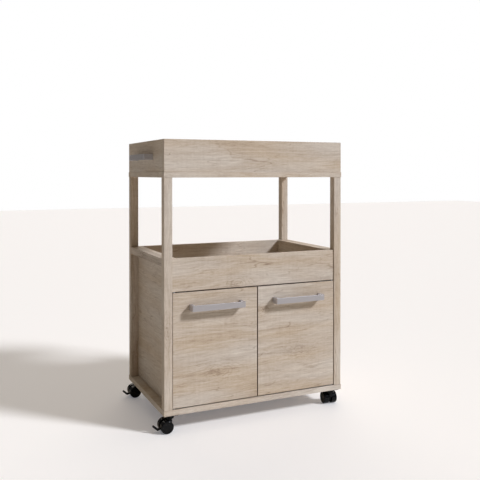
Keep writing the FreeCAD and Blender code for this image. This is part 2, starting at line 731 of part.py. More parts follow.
def make_catch(side, kinds):
    """Magnet catch under the tray floor: a screwed base with a box in its middle."""
    name = f"{side}_magnet_catch"
    body = make_body(name)
    sketch = make_sketch(body, "XY_Plane", "-catch_base")
    draw_rectangle(sketch, "-catch_length / 2", "0", "catch_length / 2", "catch_width")
    pad(body, sketch, "catch_base")
    sketch = make_sketch(body, "XY_Plane", "-magnet_height")
    draw_rectangle(sketch, "-magnet_length / 2", "0", "magnet_length / 2", "catch_width")
    pad(body, sketch, "magnet_height")
    middle = side_of(side, "catch_offset")
    front = "(door_back + strike_thickness + strike_gap)"
    put(body, turned(middle, front, "tray_base"))
    reach = "(catch_length + magnet_length) / 4"
    for step in ("-1", "1"):
        spot = pointing(f"{middle} + {reach} * {step}", f"{front} + catch_width / 2",
                        "tray_base - catch_base", "z")
        kinds["wood_screw"].set_in("wood_screws", spot, name, "lower_tray_floor")
    return body


def caster_y(row):
    return "posts_front + caster_inset_y" if row == "front" else "posts_back - caster_inset_y"


def caster_frame(row, side):
    """Placement of a caster: origin on the floor under its kingpin, wheels trailing to -X."""
    turn = "0" if side == "left" else f"{row}_right_turn"
    return turned(side_of(side, "caster_x"), caster_y(row), "0", turn)


def make_plate(name, row, side, kinds):
    """Square mounting plate with the kingpin riveted in its middle."""
    body = make_body(name)
    sketch = make_sketch(body, "XY_Plane", "-plate_thickness")
    half = "plate_size / 2"
    draw_rectangle(sketch, f"-{half}", f"-{half}", half, half)
    pad(body, sketch, "plate_thickness")
    round_edges(body, "plate_corner", upright)
    sketch = make_sketch(body, "XY_Plane", "-(plate_thickness + kingpin_length)")
    draw_circle(sketch, "0", "0", "kingpin_radius")
    pad(body, sketch, "kingpin_length + plate_thickness / 2")
    x, y = side_of(side, "caster_x"), caster_y(row)
    put(body, turned(x, y, "caster_height"))
    for step_x in ("-1", "1"):
        for step_y in ("-1", "1"):
            screw_x = f"{x} + plate_hole_pitch / 2 * {step_x}"
            screw_y = f"{y} + plate_hole_pitch / 2 * {step_y}"
            spot = pointing(screw_x, screw_y, "caster_height - plate_thickness", "z")
            kinds["wood_screw"].set_in("wood_screws", spot, name, "bottom_board")
    return body


def make_housing(name, row, side):
    """Swivelling housing: round head, neck and web between the wheels, slotted where a lever sits."""
    body = make_body(name)
    sketch = make_sketch(body, "XY_Plane", "cap_base")
    draw_circle(sketch, "0", "0", "cap_radius")
    pad(body, sketch, "cap_height")
    sketch = make_sketch(body, "XZ_Plane")
    draw_circle(sketch, "-wheel_trail", "wheel_radius", "web_radius")
    pad(body, sketch, "web_thickness", middle=True)
    sketch = make_sketch(body, "XZ_Plane")
    inside_cap = "cap_base + cap_height / 2"
    draw_outline(sketch, [("neck_front", inside_cap), ("neck_front", "wheel_radius + neck_front"),
                          ("-wheel_trail", "wheel_radius - web_radius"),
                          ("-(wheel_trail + web_radius)", "wheel_radius"),
                          ("-cap_radius", "cap_base"), ("-cap_radius", inside_cap)])
    pad(body, sketch, "web_thickness", middle=True)
    round_edges(body, "edge_radius", lambda edge: is_rim(edge, value("cap_top"), value("cap_radius"))
                or is_rim(edge, value("cap_base"), value("cap_radius")))
    sketch = make_sketch(body, "XY_Plane", "cap_top")
    draw_circle(sketch, "0", "0", "kingpin_radius + axle_play")
    pocket(body, sketch, "kingpin_length - swivel_gap + hole_end")
    sketch = make_sketch(body, "XZ_Plane")
    draw_circle(sketch, "-wheel_trail", "wheel_radius", "axle_radius + axle_play")
    pocket(body, sketch, "web_thickness + overrun", middle=True)
    if side == "left":
        cut_lever_slot(body)
    return put(body, caster_frame(row, side))


def is_rim(edge, height, radius):
    """True for an arc or circle of a radius at a height."""
    curve = edge.Curve
    near = value("cart_width") * SAME_SHARE
    return (curve.TypeId == "Part::GeomCircle" and abs(curve.Radius - radius) < near
            and abs(curve.Center.z - height) < near)


def cut_lever_slot(body):
    """Room for the brake lever's ring and the swing of its arm."""
    sketch = make_sketch(body, "XZ_Plane")
    draw_circle(sketch, "-wheel_trail", "wheel_radius", "lever_ring + lever_play")
    pocket(body, sketch, "lever_width + lever_play * 2", middle=True)
    sketch = make_sketch(body, "XZ_Plane")
    draw_outline(sketch, [("-wheel_trail", "wheel_radius + lever_ring"),
                          ("-(wheel_trail + web_radius + overrun)", "wheel_radius + lever_thickness"),
                          ("-(wheel_trail + web_radius + overrun)", "wheel_radius - web_radius - overrun"),
                          ("-wheel_trail", "wheel_radius - web_radius - overrun")])
    pocket(body, sketch, "lever_width + lever_play * 2", middle=True)


def make_axle(name, row, side):
    """Steel axle through the housing into both wheels."""
    body = make_body(name)
    sketch = make_sketch(body, "XZ_Plane")
    draw_circle(sketch, "-wheel_trail", "wheel_radius", "axle_radius")
    pad(body, sketch, "wheel_gap + axle_seat * 2", middle=True)
    return put(body, caster_frame(row, side))


def make_wheel(name, row, side, turn):
    """Hollow wheel, open to the housing, closed and slightly dished on its outer side."""
    body = make_body(name)
    sketch = make_sketch(body, "XY_Plane")
    bore = "axle_radius + axle_play"
    deep = "axle_seat + axle_play"
    ring = "wheel_radius - tread_thickness"
    floor = "wheel_width - disc_thickness"
    dish = "wheel_width - dish_depth"
    draw_outline(sketch, [(bore, "axle_play"), ("hub_radius", "axle_play"), ("hub_radius", floor),
                          (ring, floor), (ring, "0"), ("wheel_radius", "0"),
                          ("wheel_radius", "wheel_width"), ("dish_radius", "wheel_width"),
                          ("dish_radius - dish_depth", dish), ("0", dish), ("0", deep), (bore, deep)])
    revolve(body, sketch)
    near = value("cart_width") * SAME_SHARE

    def tread_edge(edge, y):
        box = edge.BoundBox
        on_tread = abs(box.XMax - value("wheel_radius")) < near
        return on_tread and abs(box.YMin - y) < near and box.YLength < near

    round_edges(body, "wheel_shoulder", lambda edge: tread_edge(edge, value("wheel_width")))
    round_edges(body, "edge_radius", lambda edge: tread_edge(edge, 0))
    return put(body, caster_frame(row, side) + " * " + wheel_place(turn))


def wheel_place(turn):
    """Where a wheel's inner side sits in its caster, for the wheel on +Y or, turned, on -Y."""
    way = "1" if turn == "0" else "-1"
    return turned("-wheel_trail", f"wheel_gap / 2 * {way}", "wheel_radius", turn)


def make_lever(name, row, side):
    """Hooked brake lever: a ring on the axle, an arm to its elbow and a pedal that turns up."""
    body = make_body(name)
    axle = ("-wheel_trail", "wheel_radius")
    elbow = ("-(wheel_trail + elbow_back)", "wheel_radius - elbow_drop")
    pedal = ("-(wheel_trail + pedal_back)", "wheel_radius + pedal_rise")
    half = "lever_thickness / 2"
    for middle, radius in ((axle, "lever_ring"), (elbow, half), (pedal, half)):
        sketch = make_sketch(body, "XZ_Plane")
        draw_circle(sketch, *middle, radius)
        pad(body, sketch, "lever_width", middle=True)
    arm = ("elbow_back", "elbow_drop")
    toe = ("(pedal_back - elbow_back)", "-(pedal_rise + elbow_drop)")
    for start, stop, along in ((axle, elbow, arm), (elbow, pedal, toe)):
        reach = f"sqrt(pow({along[0]}; 2) + pow({along[1]}; 2))"
        side_x = f"{half} * ({along[1]}) / {reach}"
        side_z = f"{half} * ({along[0]}) / {reach}"
        sketch = make_sketch(body, "XZ_Plane")
        draw_outline(sketch, [(f"{start[0]} - {side_x}", f"{start[1]} + {side_z}"),
                              (f"{stop[0]} - {side_x}", f"{stop[1]} + {side_z}"),
                              (f"{stop[0]} + {side_x}", f"{stop[1]} - {side_z}"),
                              (f"{start[0]} + {side_x}", f"{start[1]} - {side_z}")])
        pad(body, sketch, "lever_width", middle=True)
    sketch = make_sketch(body, "XZ_Plane")
    draw_circle(sketch, *axle, "axle_radius + axle_play")
    pocket(body, sketch, "lever_width + overrun", middle=True)
    return put(body, caster_frame(row, side))


def make_caster(row, side, kinds):
    """One twin-wheel swivel caster, with a brake lever on the left side of the cart."""
    name = f"{row}_{side}_caster"
    pieces = [make_plate(name + "_plate", row, side, kinds), make_housing(name + "_housing", row, side),
              make_axle(name + "_axle", row, side)]
    swapped = (row == "rear") != (side == "right")
    for wheel, turn in (("inner", "180" if swapped else "0"), ("outer", "0" if swapped else "180")):
        pieces.append(make_wheel(f"{row}_{side}_{wheel}_wheel", row, side, turn))
    if side == "left":
        pieces.append(make_lever(f"{row}_{side}_brake_lever", row, side))
    return pieces


def make_cart():
    """The whole cart."""
    kinds = make_fasteners()
    blanks = list(make_frame_blanks().values())
    join_frame(kinds)
    set_shelf_pins(kinds)
    case_leaves = make_doors(kinds)
    catches = [make_catch(side, kinds) for side in ("left", "right")]
    middle_y = "(posts_front + posts_back) / 2"
    wall_z = "top_face + tray_handle_rise"
    for side, x, turn in (("left", "-half_width", "-90"), ("right", "half_width", "90")):
        blanks.append(make_handle(f"{side}_tray_handle", x, middle_y, wall_z, turn, kinds,
                                  "tray_handle_screws", f"top_tray_{side}_wall"))
    for row in ("front", "rear"):
        for side in ("left", "right"):
            blanks += make_caster(row, side, kinds)
    for blank in blanks:
        finish_piece(blank)
    gather("case_hinge_leaves", [cut_leaf(leaf) for leaf in case_leaves])
    gather("magnet_catches", [cut_leaf(catch) for catch in catches])
    for name, members in groups.items():
        gather(name, members)


def check_and_write():
    """Stops if anything failed, then writes each part's file."""
    doc.recompute()
    for thing in doc.Objects:
        bad = {"Invalid", "Error"} & set(thing.State)
        assert not bad, f"{thing.Label}: {thing.State}"
    for piece in parts:
        shape = piece.Shape
        assert not shape.isNull() and shape.isValid() and shape.Solids, piece.Label + ": bad shape"
    os.makedirs("parts", exist_ok=True)
    for piece in parts:
        Part.getShape(piece).exportStep(f"parts/{piece.Label}.step")
    print(len(parts), "parts,", sum(len(piece.Shape.Solids) for piece in parts), "solids")


sheet = make_sheets()
make_cart()
check_and_write()
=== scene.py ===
import math

import bpy
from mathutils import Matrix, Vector

# Looks of the serving cart: sawn-oak foil on furniture board, satin handles, zinc-plated hinge parts
# and glossy black twin-wheel casters, on a pale floor under soft studio light.

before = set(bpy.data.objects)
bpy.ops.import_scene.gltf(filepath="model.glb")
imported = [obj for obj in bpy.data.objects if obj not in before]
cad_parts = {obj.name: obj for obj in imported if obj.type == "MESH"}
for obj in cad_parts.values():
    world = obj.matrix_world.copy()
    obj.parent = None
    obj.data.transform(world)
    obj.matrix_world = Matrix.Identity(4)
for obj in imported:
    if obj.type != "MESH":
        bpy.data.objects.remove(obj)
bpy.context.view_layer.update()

MM = 0.001
AXES = "XYZ"

# The photo's own frame, in pixels, and where its lens axis meets it.
PHOTO_SIZE = 480
FOCAL_PIXELS = 659.5
AXIS_ROW = 178.8
SENSOR_MM = 36
# Where the camera stands, in millimetres, and how it is turned, in degrees.
CAMERA_MM = (-887.0, -1996.25, 756.4)
CAMERA_TURN = 24.475
CAMERA_TILT = 0.506

# Studio light: for each lamp which way it shines, its strength, its softness in degrees and its
# colour. Then the fill all round, and the backdrop that only the camera sees.
KEY = ((-0.6, 0.57, -0.58), 3.32, 10, "#eef3ff")
OVERHEAD = ((0, 0, -1), 0.5, 80, "#fff4e5")
BACK = ((-0.35, -0.85, -0.4), 0.95, 60, "#fff6ea")
FILL_STRENGTH = 0.09
FILL_COLOUR = "#fff6ee"
BACKDROP_COLOUR = "#ffffff"
# The floor, and the extra light that only the camera sees on it, as on a lit white studio floor.
FLOOR_SIZE_MM = 24000
FLOOR_COLOUR = "#f1ece4"
FLOOR_LIFT = 0.16
FLOOR_LIFT_COLOUR = "#f1f4ff"


def linear(hex_colour):
    """An sRGB hex colour as linear red, green, blue and alpha."""
    def channel(start):
        part = int(hex_colour[start:start + 2], 16) / 255
        return part / 12.92 if part <= 0.04045 else ((part + 0.055) / 1.055) ** 2.4

    return (channel(1), channel(3), channel(5), 1)


def add(tree, kind, inputs=(), stops=(), **settings):
    """Adds a node with its settings, and with stops of a place and a colour if it is a colour ramp.

    The inputs are a list in the sockets' order, or a dictionary by their names or numbers. Each is a
    plain value, or a node or an output to link. A node stands for its first output.
    """
    made = tree.nodes.new(kind)
    for name, setting in settings.items():
        setattr(made, name, setting)
    named_inputs = inputs if isinstance(inputs, dict) else dict(enumerate(inputs))
    for name, value in named_inputs.items():
        source = value.outputs[0] if isinstance(value, bpy.types.Node) else value
        if isinstance(source, bpy.types.NodeSocket):
            tree.links.new(source, made.inputs[name])
        else:
            made.inputs[name].default_value = source
    if stops:
        points = made.color_ramp.elements
        while len(points) < len(stops):
            points.new(1.0)
        for point, (place, colour) in zip(points, stops):
            point.position = place
            point.color = linear(colour)
    return made


def start_material(name):
    """A new material and its empty node tree."""
    material = bpy.data.materials.new(name)
    material.use_nodes = True
    material.node_tree.nodes.clear()
    return material, material.node_tree


def finish_material(material, look):
    """Gives the material one shader, with this look as its inputs."""
    shader = add(material.node_tree, "ShaderNodeBsdfPrincipled", look)
    add(material.node_tree, "ShaderNodeOutputMaterial", [shader])
    return material


def facing(tree, axis):
    """How far a face looks along an axis of the cart, from -1 to 1."""
    place = add(tree, "ShaderNodeTexCoord")
    return add(tree, "ShaderNodeSeparateXYZ", [place.outputs["Normal"]]).outputs[axis]


# How far a face has to look along the grain to be an end of its board.
END_FACING = 0.7
# A pattern that starts at the frame's origin.
UNSHIFTED = (0, 0, 0)


def grain_place(tree, grain, shift):
    """Where a point lies along the grain, across it and through the board, in millimetres.

    An end face carries an edge band of its own, whose grain follows the longer way of that face.
    """
    place = add(tree, "ShaderNodeTexCoord")
    parts = add(tree, "ShaderNodeSeparateXYZ", [place.outputs["Object"]]).outputs
    along, across = grain
    through = [axis for axis in AXES if axis not in grain][0]
    on_face = add(tree, "ShaderNodeCombineXYZ", [parts[along], parts[across], parts[through]])
    on_end = add(tree, "ShaderNodeCombineXYZ", [parts[across], parts[through], parts[along]])
    steep = add(tree, "ShaderNodeMath", [facing(tree, along)], operation="ABSOLUTE")
    is_end = add(tree, "ShaderNodeMath", [steep, END_FACING], operation="GREATER_THAN")
    # A mix of vectors has them at sockets 4 and 5, and its result at output 1.
    chosen = add(tree, "ShaderNodeMix", {0: is_end, 4: on_face, 5: on_end}, data_type="VECTOR").outputs[1]
    return add(tree, "ShaderNodeVectorMath", [chosen, [1 / MM] * len(AXES), shift],
               operation="MULTIPLY_ADD")


def stretched(tree, place, size):
    """The place in a measure by which a mark of this length and width is one long and one wide."""
    length, width = size
    measure = (1 / length, 1 / width, 1 / width)
    return add(tree, "ShaderNodeVectorMath", [place, measure], operation="MULTIPLY")


# The mean of a noise, and the middle of a colour ramp.
NOISE_MEAN = 0.5
RAMP_MIDDLE = 0.5
# How deep the relief of a finish is at full strength, in millimetres.
RELIEF_MM = 0.04
# What the noise of a mark is like: its finer layers, how rough they are, and how far it is swirled.
EVEN = {"Detail": 2.0, "Roughness": 0.5}
SMOOTH = {"Detail": 1.0, "Roughness": 0.5}
FLOWING = {"Detail": 1.5, "Roughness": 0.5}
FRAYED = {"Detail": 3.0, "Roughness": 0.6}
CRUMBLED = {"Detail": 3.0, "Roughness": 0.7}
SWIRLED = {"Detail": 2.0, "Roughness": 0.6, "Distortion": 1.2}


def mottle(tree, place, size, nature=EVEN):
    """Noise about zero whose marks have this length and width."""
    where = {"Vector": stretched(tree, place, size), "Scale": 1.0}
    noise = add(tree, "ShaderNodeTexNoise", {**where, **nature})
    return add(tree, "ShaderNodeMath", [noise, NOISE_MEAN], operation="SUBTRACT")


def weigh(tree, start, marks):
    """The start, plus each mark times its share."""
    result = start
    for mark, share in marks:
        result = add(tree, "ShaderNodeMath", [mark, share, result], operation="MULTIPLY_ADD")
    return result


def tint(tree, mark, contrast, stops):
    """Colours a mark by the stops. Where the mark is zero, it gets the colour in their middle."""
    return add(tree, "ShaderNodeValToRGB", [weigh(tree, RAMP_MIDDLE, [(mark, contrast)])], stops)


# Sawn-oak foil. Length and width of each kind of mark in the print, in millimetres. The marks of the
# saw are about 2 mm apart on the real foil, which would not show, so they are drawn wider apart.
CLOUD_MM = (420, 70)
BAND_MM = (260, 16)
STREAK_MM = (90, 5)
FIBRE_MM = (30, 2.2)
SPECK_MM = (7, 3)
PORE_MM = (14, 0.9)
SAW_MM = (7, 70)
FLAME_MM = (700, 90)
WAVE_MM = (150, 60)
WAVE_RISE_MM = 22
CALM_MM = (180, 36)
VEIN_MM = (190, 34)
VEIN_PATCH_MM = (120, 40)
KNOT_CELL_MM = (230, 130)
CURL_MM = (20, 6)
# About the share of knot cells that hold no knot: a cell holds one if its random colour is lighter. Then
# how many growth lines lie over the whole range of a flame, half the gap from one line to the next, and
# how far a knot bends the lines.
CLEAR_SHARE = 0.42
FLAME_LINES = 12
HALF_LINE_GAP = 0.5
KNOT_BEND_SHARE = 0.40
# Ranges: the first two values are of what a mark is drawn from, and become the last two.
KNOT_REACH_SHARES = (0.03, 0.34, 1, 0)
CURL_SHARES = (0, 0.1, 0, 1)
GROWTH_LINE_SHARES = (0, 0.16, 1, 0)
GROWTH_BAND_SHARES = (0, 0.16, 0, 1)
VEIN_LINE_SHARES = (0, 0.016, 1, 0)
VEIN_PATCH_SHARES = (-0.04, 0.12, 0, 1)
LIVELY_SHARES = (-0.15, 0.15, 0.35, 1.35)
PORE_HOLE_SHARES = (0.12, 0.22, 0, 1)
GREYNESS_SHARES = (-0.16, 0.16, 0.1, 0.95)
FOIL_ROUGHNESS_SHARES = (-0.2, 0.2, 0.48, 0.60)
# The print's own tone, from 0 for dark to 1 for light, and how strongly each kind of mark varies it. Where
# a share is below zero, the mark darkens.
PRINT_TONE_SHARE = 0.62
CLOUD_SHARE = 0.50
BAND_SHARE = 0.40
STREAK_SHARE = 0.66
FIBRE_SHARE = 0.60
SPECK_SHARE = 0.20
SAW_SHARE = 0.12
VEIN_SHARE = -0.30
GROWTH_SHARE = -0.16
KNOT_SHARE = -0.04
CURL_SHARE = -0.22
PORE_SHARE = -0.10
# How far the foil's relief follows each kind of mark. Pores and growth lines are sunk.
FIBRE_RELIEF_SHARE = 0.6
PORE_RELIEF_SHARE = -1
GROWTH_RELIEF_SHARE = -0.3
# What the print is made of, dark to light, where the wood is warm and where it is grey.
OAK_WARM = ((0.0, "#7c654e"), (0.25, "#a08971"), (0.5, "#baa58b"), (0.7, "#c7b59f"), (1.0, "#d8c9b4"))
OAK_GREY = ((0.0, "#776656"), (0.25, "#9a8b7c"), (0.5, "#b5a798"), (0.7, "#c4b8a9"), (1.0, "#d7cdbe"))


def waved(tree, straight):
    """The place in a print whose grain rises and falls in long waves."""
    wave = mottle(tree, straight, WAVE_MM, SMOOTH)
    across = add(tree, "ShaderNodeMath", [wave, WAVE_RISE_MM], operation="MULTIPLY")
    rise = add(tree, "ShaderNodeCombineXYZ", {1: across})
    return add(tree, "ShaderNodeVectorMath", [straight, rise], operation="ADD")


def knots(tree, place):
    """How near a point is to a knot's heart, from 0 to 1. Some cells of the print have no knot."""
    in_cells = stretched(tree, place, KNOT_CELL_MM)
    cells = add(tree, "ShaderNodeTexVoronoi", {"Vector": in_cells, "Scale": 1.0})
    near = add(tree, "ShaderNodeMapRange", [cells.outputs["Distance"], *KNOT_REACH_SHARES])
    present = add(tree, "ShaderNodeMath", [cells.outputs["Color"], CLEAR_SHARE], operation="GREATER_THAN")
    return add(tree, "ShaderNodeMath", [near, present], operation="MULTIPLY")


def growth_lines(tree, place, heart):
    """Lines along the grain, as a saw lays a trunk's rings bare, which bend round the knots' hearts."""
    flame = weigh(tree, mottle(tree, place, FLAME_MM, FLOWING), [(heart, KNOT_BEND_SHARE)])
    turns = add(tree, "ShaderNodeMath", [flame, FLAME_LINES], operation="MULTIPLY")
    line = add(tree, "ShaderNodeMath", [turns, HALF_LINE_GAP], operation="PINGPONG")
    return add(tree, "ShaderNodeMapRange", [line, *GROWTH_LINE_SHARES])


def veins(tree, place):
    """Thin wavy lines where a noise passes zero, in some patches of the print only."""
    beside = add(tree, "ShaderNodeMath", [mottle(tree, place, VEIN_MM)], operation="ABSOLUTE")
    line = add(tree, "ShaderNodeMapRange", [beside, *VEIN_LINE_SHARES])
    patch = add(tree, "ShaderNodeMapRange", [mottle(tree, place, VEIN_PATCH_MM), *VEIN_PATCH_SHARES])
    return add(tree, "ShaderNodeMath", [line, patch], operation="MULTIPLY")


def streaks(tree, place):
    """Long thin streaks, strong in some places and calm in others."""
    streak = mottle(tree, place, STREAK_MM, FRAYED)
    lively = add(tree, "ShaderNodeMapRange", [mottle(tree, place, CALM_MM), *LIVELY_SHARES])
    return add(tree, "ShaderNodeMath", [streak, lively], operation="MULTIPLY")


def oak_print(tree, grain, shift, tone_and_painted_light=PRINT_TONE_SHARE):
    """The look of sawn-oak foil, as inputs of a shader."""
    straight = grain_place(tree, grain, shift)
    place = waved(tree, straight)
    near_knot = knots(tree, place)
    heart = add(tree, "ShaderNodeMath", [near_knot, near_knot], operation="MULTIPLY")
    swirl = add(tree, "ShaderNodeMapRange", [mottle(tree, place, CURL_MM, SWIRLED), *CURL_SHARES])
    curl = add(tree, "ShaderNodeMath", [swirl, near_knot], operation="MULTIPLY")
    cloud = mottle(tree, place, CLOUD_MM)
    band = mottle(tree, place, BAND_MM)
    growth = growth_lines(tree, place, heart)
    in_band = add(tree, "ShaderNodeMapRange", [band, *GROWTH_BAND_SHARES])
    drawn = add(tree, "ShaderNodeMath", [in_band, heart], operation="ADD")
    rings = add(tree, "ShaderNodeMath", [growth, drawn], operation="MULTIPLY")
    fibre = mottle(tree, place, FIBRE_MM, FRAYED)
    pore = add(tree, "ShaderNodeMapRange", [mottle(tree, place, PORE_MM, SMOOTH), *PORE_HOLE_SHARES])
    tone = weigh(tree, tone_and_painted_light, [
        (cloud, CLOUD_SHARE),
        (band, BAND_SHARE),
        (streaks(tree, place), STREAK_SHARE),
        (fibre, FIBRE_SHARE),
        (mottle(tree, place, SPECK_MM), SPECK_SHARE),
        (mottle(tree, straight, SAW_MM, SMOOTH), SAW_SHARE),
        (veins(tree, place), VEIN_SHARE),
        (rings, GROWTH_SHARE),
        (heart, KNOT_SHARE),
        (curl, CURL_SHARE),
        (pore, PORE_SHARE),
    ])
    warm = add(tree, "ShaderNodeValToRGB", [tone], OAK_WARM)
    grey = add(tree, "ShaderNodeValToRGB", [tone], OAK_GREY)
    greyness = add(tree, "ShaderNodeMapRange", [cloud, *GREYNESS_SHARES])
    relief = weigh(tree, 0, [
        (fibre, FIBRE_RELIEF_SHARE),
        (pore, PORE_RELIEF_SHARE),
        (growth, GROWTH_RELIEF_SHARE),
    ])
    embossed = {"Height": relief, "Strength": 0.5, "Distance": RELIEF_MM * MM}
    return {
        "Base Color": add(tree, "ShaderNodeMixRGB", [greyness, warm, grey]),
        "Roughness": add(tree, "ShaderNodeMapRange", [fibre, *FOIL_ROUGHNESS_SHARES]),
        "IOR": 1.45,
        "Normal": add(tree, "ShaderNodeBump", embossed),
    }


def sawn_oak_foil(name, *cut):
    """Particle board under a printed foil of pale sawn oak, lacquered satin.

    The eye meets a calm pale ground with warm and grey clouds, a few thin wavy veins, growth lines
    that bow and curl round small knots, short pores, and across them the faint marks of the saw.
    """
    material, tree = start_material(name)
    return finish_material(material, oak_print(tree, *cut))


# Which way each board's grain runs, along and then across, where its foil was cut from the print, in
# millimetres, and for some the tone of that part of the print: darker as painted shade on the rear left
# post and the left rail, lighter as painted light on the right panel and the lower tray's back and floor.
OAK_CUTS = {
    "bottom_board": ("XY", (0, 0, 0)),
    "top_board": ("XY", (1600, 2300, 440), 0.66),
    "front_left_post": ("ZX", (100, 500, 0)),
    "front_right_post": ("ZX", (1300, 900, 200)),
    # Painted shade: the rear left post's print is darker, for the shade it stands in.
    "rear_left_post": ("ZX", (2100, 100, 300), 0.48),
    "rear_right_post": ("ZX", (500, 1500, 700)),
    # Painted shade: the left rail's print is darker, for the shade on the side away from the key.
    "left_side_rail": ("YZ", (700, 100, 0), 0.40),
    "right_side_rail": ("YZ", (200, 800, 500)),
    "left_side_panel": ("YZ", (400, 1200, 300)),
    # Painted light: the right panel's print is lighter, for the light bounced about inside the lower tray.
    "right_side_panel": ("YZ", (1700, 600, 900), 0.78),
    "lower_tray_front": ("XZ", (300, 2000, 100)),
    # Painted light: the lower tray's back and floor are lighter, for the light bounced about inside the
    # tray.
    "lower_tray_back": ("XZ", (1500, 400, 600), 0.74),
    "lower_tray_floor": ("XY", (2500, 700, 200), 0.74),
    "cabinet_shelf": ("XY", (600, 1800, 800)),
    "top_tray_front_wall": ("XZ", (2800, 1000, 50)),
    "top_tray_back_wall": ("XZ", (800, 2600, 400)),
    "top_tray_left_wall": ("YZ", (1900, 300, 1000)),
    "top_tray_right_wall": ("YZ", (50, 1400, 250)),
}
DOOR_CUTS = {
    "left_door": ("XZ", (1150, 1750, 500)),
    "right_door": ("XZ", (2250, 950, 1300)),
}
BACK_CUT = ("XZ", (1000, 2200, 700))

# Painted shade on the doors' edges, a dark brown for the shadow in the gaps round the door, and how far it
# hides
# the print: by four fifths on edges, and not at all on faces that look to the front or back.
DOOR_EDGE_SHADE = "#5a4433"
DOOR_EDGE_SHADE_SHARES = (0.3, 0.7, 0.8, 0)


def edge_shaded_door(name, *cut):
    """Door board of the same foil, its edges painted dark brown as painted shade.

    The eye meets a dark brown outline in the narrow gaps round the closed door, the gaps' shadow painted
    on.
    """
    material, tree = start_material(name)
    look = oak_print(tree, *cut)
    flat = add(tree, "ShaderNodeMath", [facing(tree, "Y")], operation="ABSOLUTE")
    painted_edge_shade = add(tree, "ShaderNodeMapRange", [flat, *DOOR_EDGE_SHADE_SHARES])
    # Painted shade: the door's edges turn dark brown, standing in for the shadow in the gaps round the
    # door.
    look["Base Color"] = add(tree, "ShaderNodeMixRGB", [painted_edge_shade, look["Base Color"], linear(DOOR_EDGE_SHADE)])
    return finish_material(material, look)


# Bare hardboard, dark to light, and the length and width of its flecks, in millimetres.
HARDBOARD = ((0.0, "#5a4534"), (0.5, "#74593f"), (1.0, "#8a6d50"))
FLECK_MM = (5, 2)
FLECK_CONTRAST = 1.6
# How far a face has to look backwards to be the sheet's outer side.
BACK_FACING = 0.5


def hardboard(name, *cut):
    """Thin sheet of pressed fibre, printed like the boards on its inner side.

    The eye meets a plain matt brown with short darker fibres on the outer side.
    """
    material, tree = start_material(name)
    look = oak_print(tree, *cut)
    fleck = mottle(tree, grain_place(tree, *cut), FLECK_MM, CRUMBLED)
    bare = tint(tree, fleck, FLECK_CONTRAST, HARDBOARD)
    outside = add(tree, "ShaderNodeMath", [facing(tree, "Y"), BACK_FACING], operation="GREATER_THAN")
    look["Base Color"] = add(tree, "ShaderNodeMixRGB", [outside, look["Base Color"], bare])
    return finish_material(material, look)


# Nickel, dark to light, and the length and width of a brush mark, in millimetres. Real ones are a
# tenth as wide and would not show.
NICKEL = ((0.0, "#b9b5b6"), (1.0, "#d0cdcf"))
BRUSH_MM = (90, 0.9)
BRUSH_CONTRAST = 1.2
BRUSH_ROUGHNESS_SHARES = (-0.2, 0.2, 0.42, 0.56)


def satin_nickel(name, grain):
    """Steel bar, nickel plated and brushed along its length.

    The eye meets a soft lilac-grey sheen, drawn out along the bar, that takes up the wood's colour.
    """
    material, tree = start_material(name)
    brush = mottle(tree, grain_place(tree, grain, UNSHIFTED), BRUSH_MM, FRAYED)
    scratched = {"Height": brush, "Strength": 0.25, "Distance": RELIEF_MM * MM}
    return finish_material(material, {
        "Base Color": tint(tree, brush, BRUSH_CONTRAST, NICKEL),
        "Metallic": 1.0,
        "Roughness": add(tree, "ShaderNodeMapRange", [brush, *BRUSH_ROUGHNESS_SHARES]),
        "Anisotropic": 0.5,
        "Normal": add(tree, "ShaderNodeBump", scratched),
    })


# Zinc, dark to light, and the size of the patches in which its crystals grow, in millimetres.
ZINC = ((0.0, "#a9adb3"), (1.0, "#cdd0d3"))
SPANGLE_MM = (3, 3)
SPANGLE_CONTRAST = 1.4
SPANGLE_ROUGHNESS_SHARES = (-0.2, 0.2, 0.24, 0.38)


def zinc_plate(name):
    """Pressed steel, bright zinc plated.

    The eye meets a cool, slightly blue metal whose gloss changes in small patches.
    """
    material, tree = start_material(name)
    spangle = mottle(tree, grain_place(tree, "XZ", UNSHIFTED), SPANGLE_MM, FRAYED)
    return finish_material(material, {
        "Base Color": tint(tree, spangle, SPANGLE_CONTRAST, ZINC),
        "Metallic": 1.0,
        "Roughness": add(tree, "ShaderNodeMapRange", [spangle, *SPANGLE_ROUGHNESS_SHARES]),
    })


# Black nylon, dark to light, and the length and width of a scuff and of the mould's grain, in
# millimetres. A scuff is rougher, from the gloss of clean nylon to that of worn nylon.
NYLON = ((0.0, "#070708"), (1.0, "#111112"))
SCUFF_MM = (14, 5)
SCUFF_CONTRAST = 1.5
SCUFF_REACH_SHARES = (-0.1, 0.2)
MOULD_GRAIN_MM = (0.8, 0.8)
WHEEL_ROUGHNESS_SHARES = (0.16, 0.30)
HOUSING_ROUGHNESS_SHARES = (0.32, 0.45)


def moulded_nylon(name, roughness_shares):
    """Black nylon, moulded in a polished tool.

    The eye meets a near-black gloss with a clear edge of light, dulled a little in soft scuffs.
    """
    material, tree = start_material(name)
    place = grain_place(tree, "XZ", UNSHIFTED)
    scuff = mottle(tree, place, SCUFF_MM, FRAYED)
    grained = {"Height": mottle(tree, place, MOULD_GRAIN_MM), "Strength": 0.15, "Distance": RELIEF_MM * MM}
    return finish_material(material, {
        "Base Color": tint(tree, scuff, SCUFF_CONTRAST, NYLON),
        "Roughness": add(tree, "ShaderNodeMapRange", [scuff, *SCUFF_REACH_SHARES, *roughness_shares]),
        "IOR": 1.53,
        "Specular IOR Level": 0.16,
        "Normal": add(tree, "ShaderNodeBump", grained),
    })


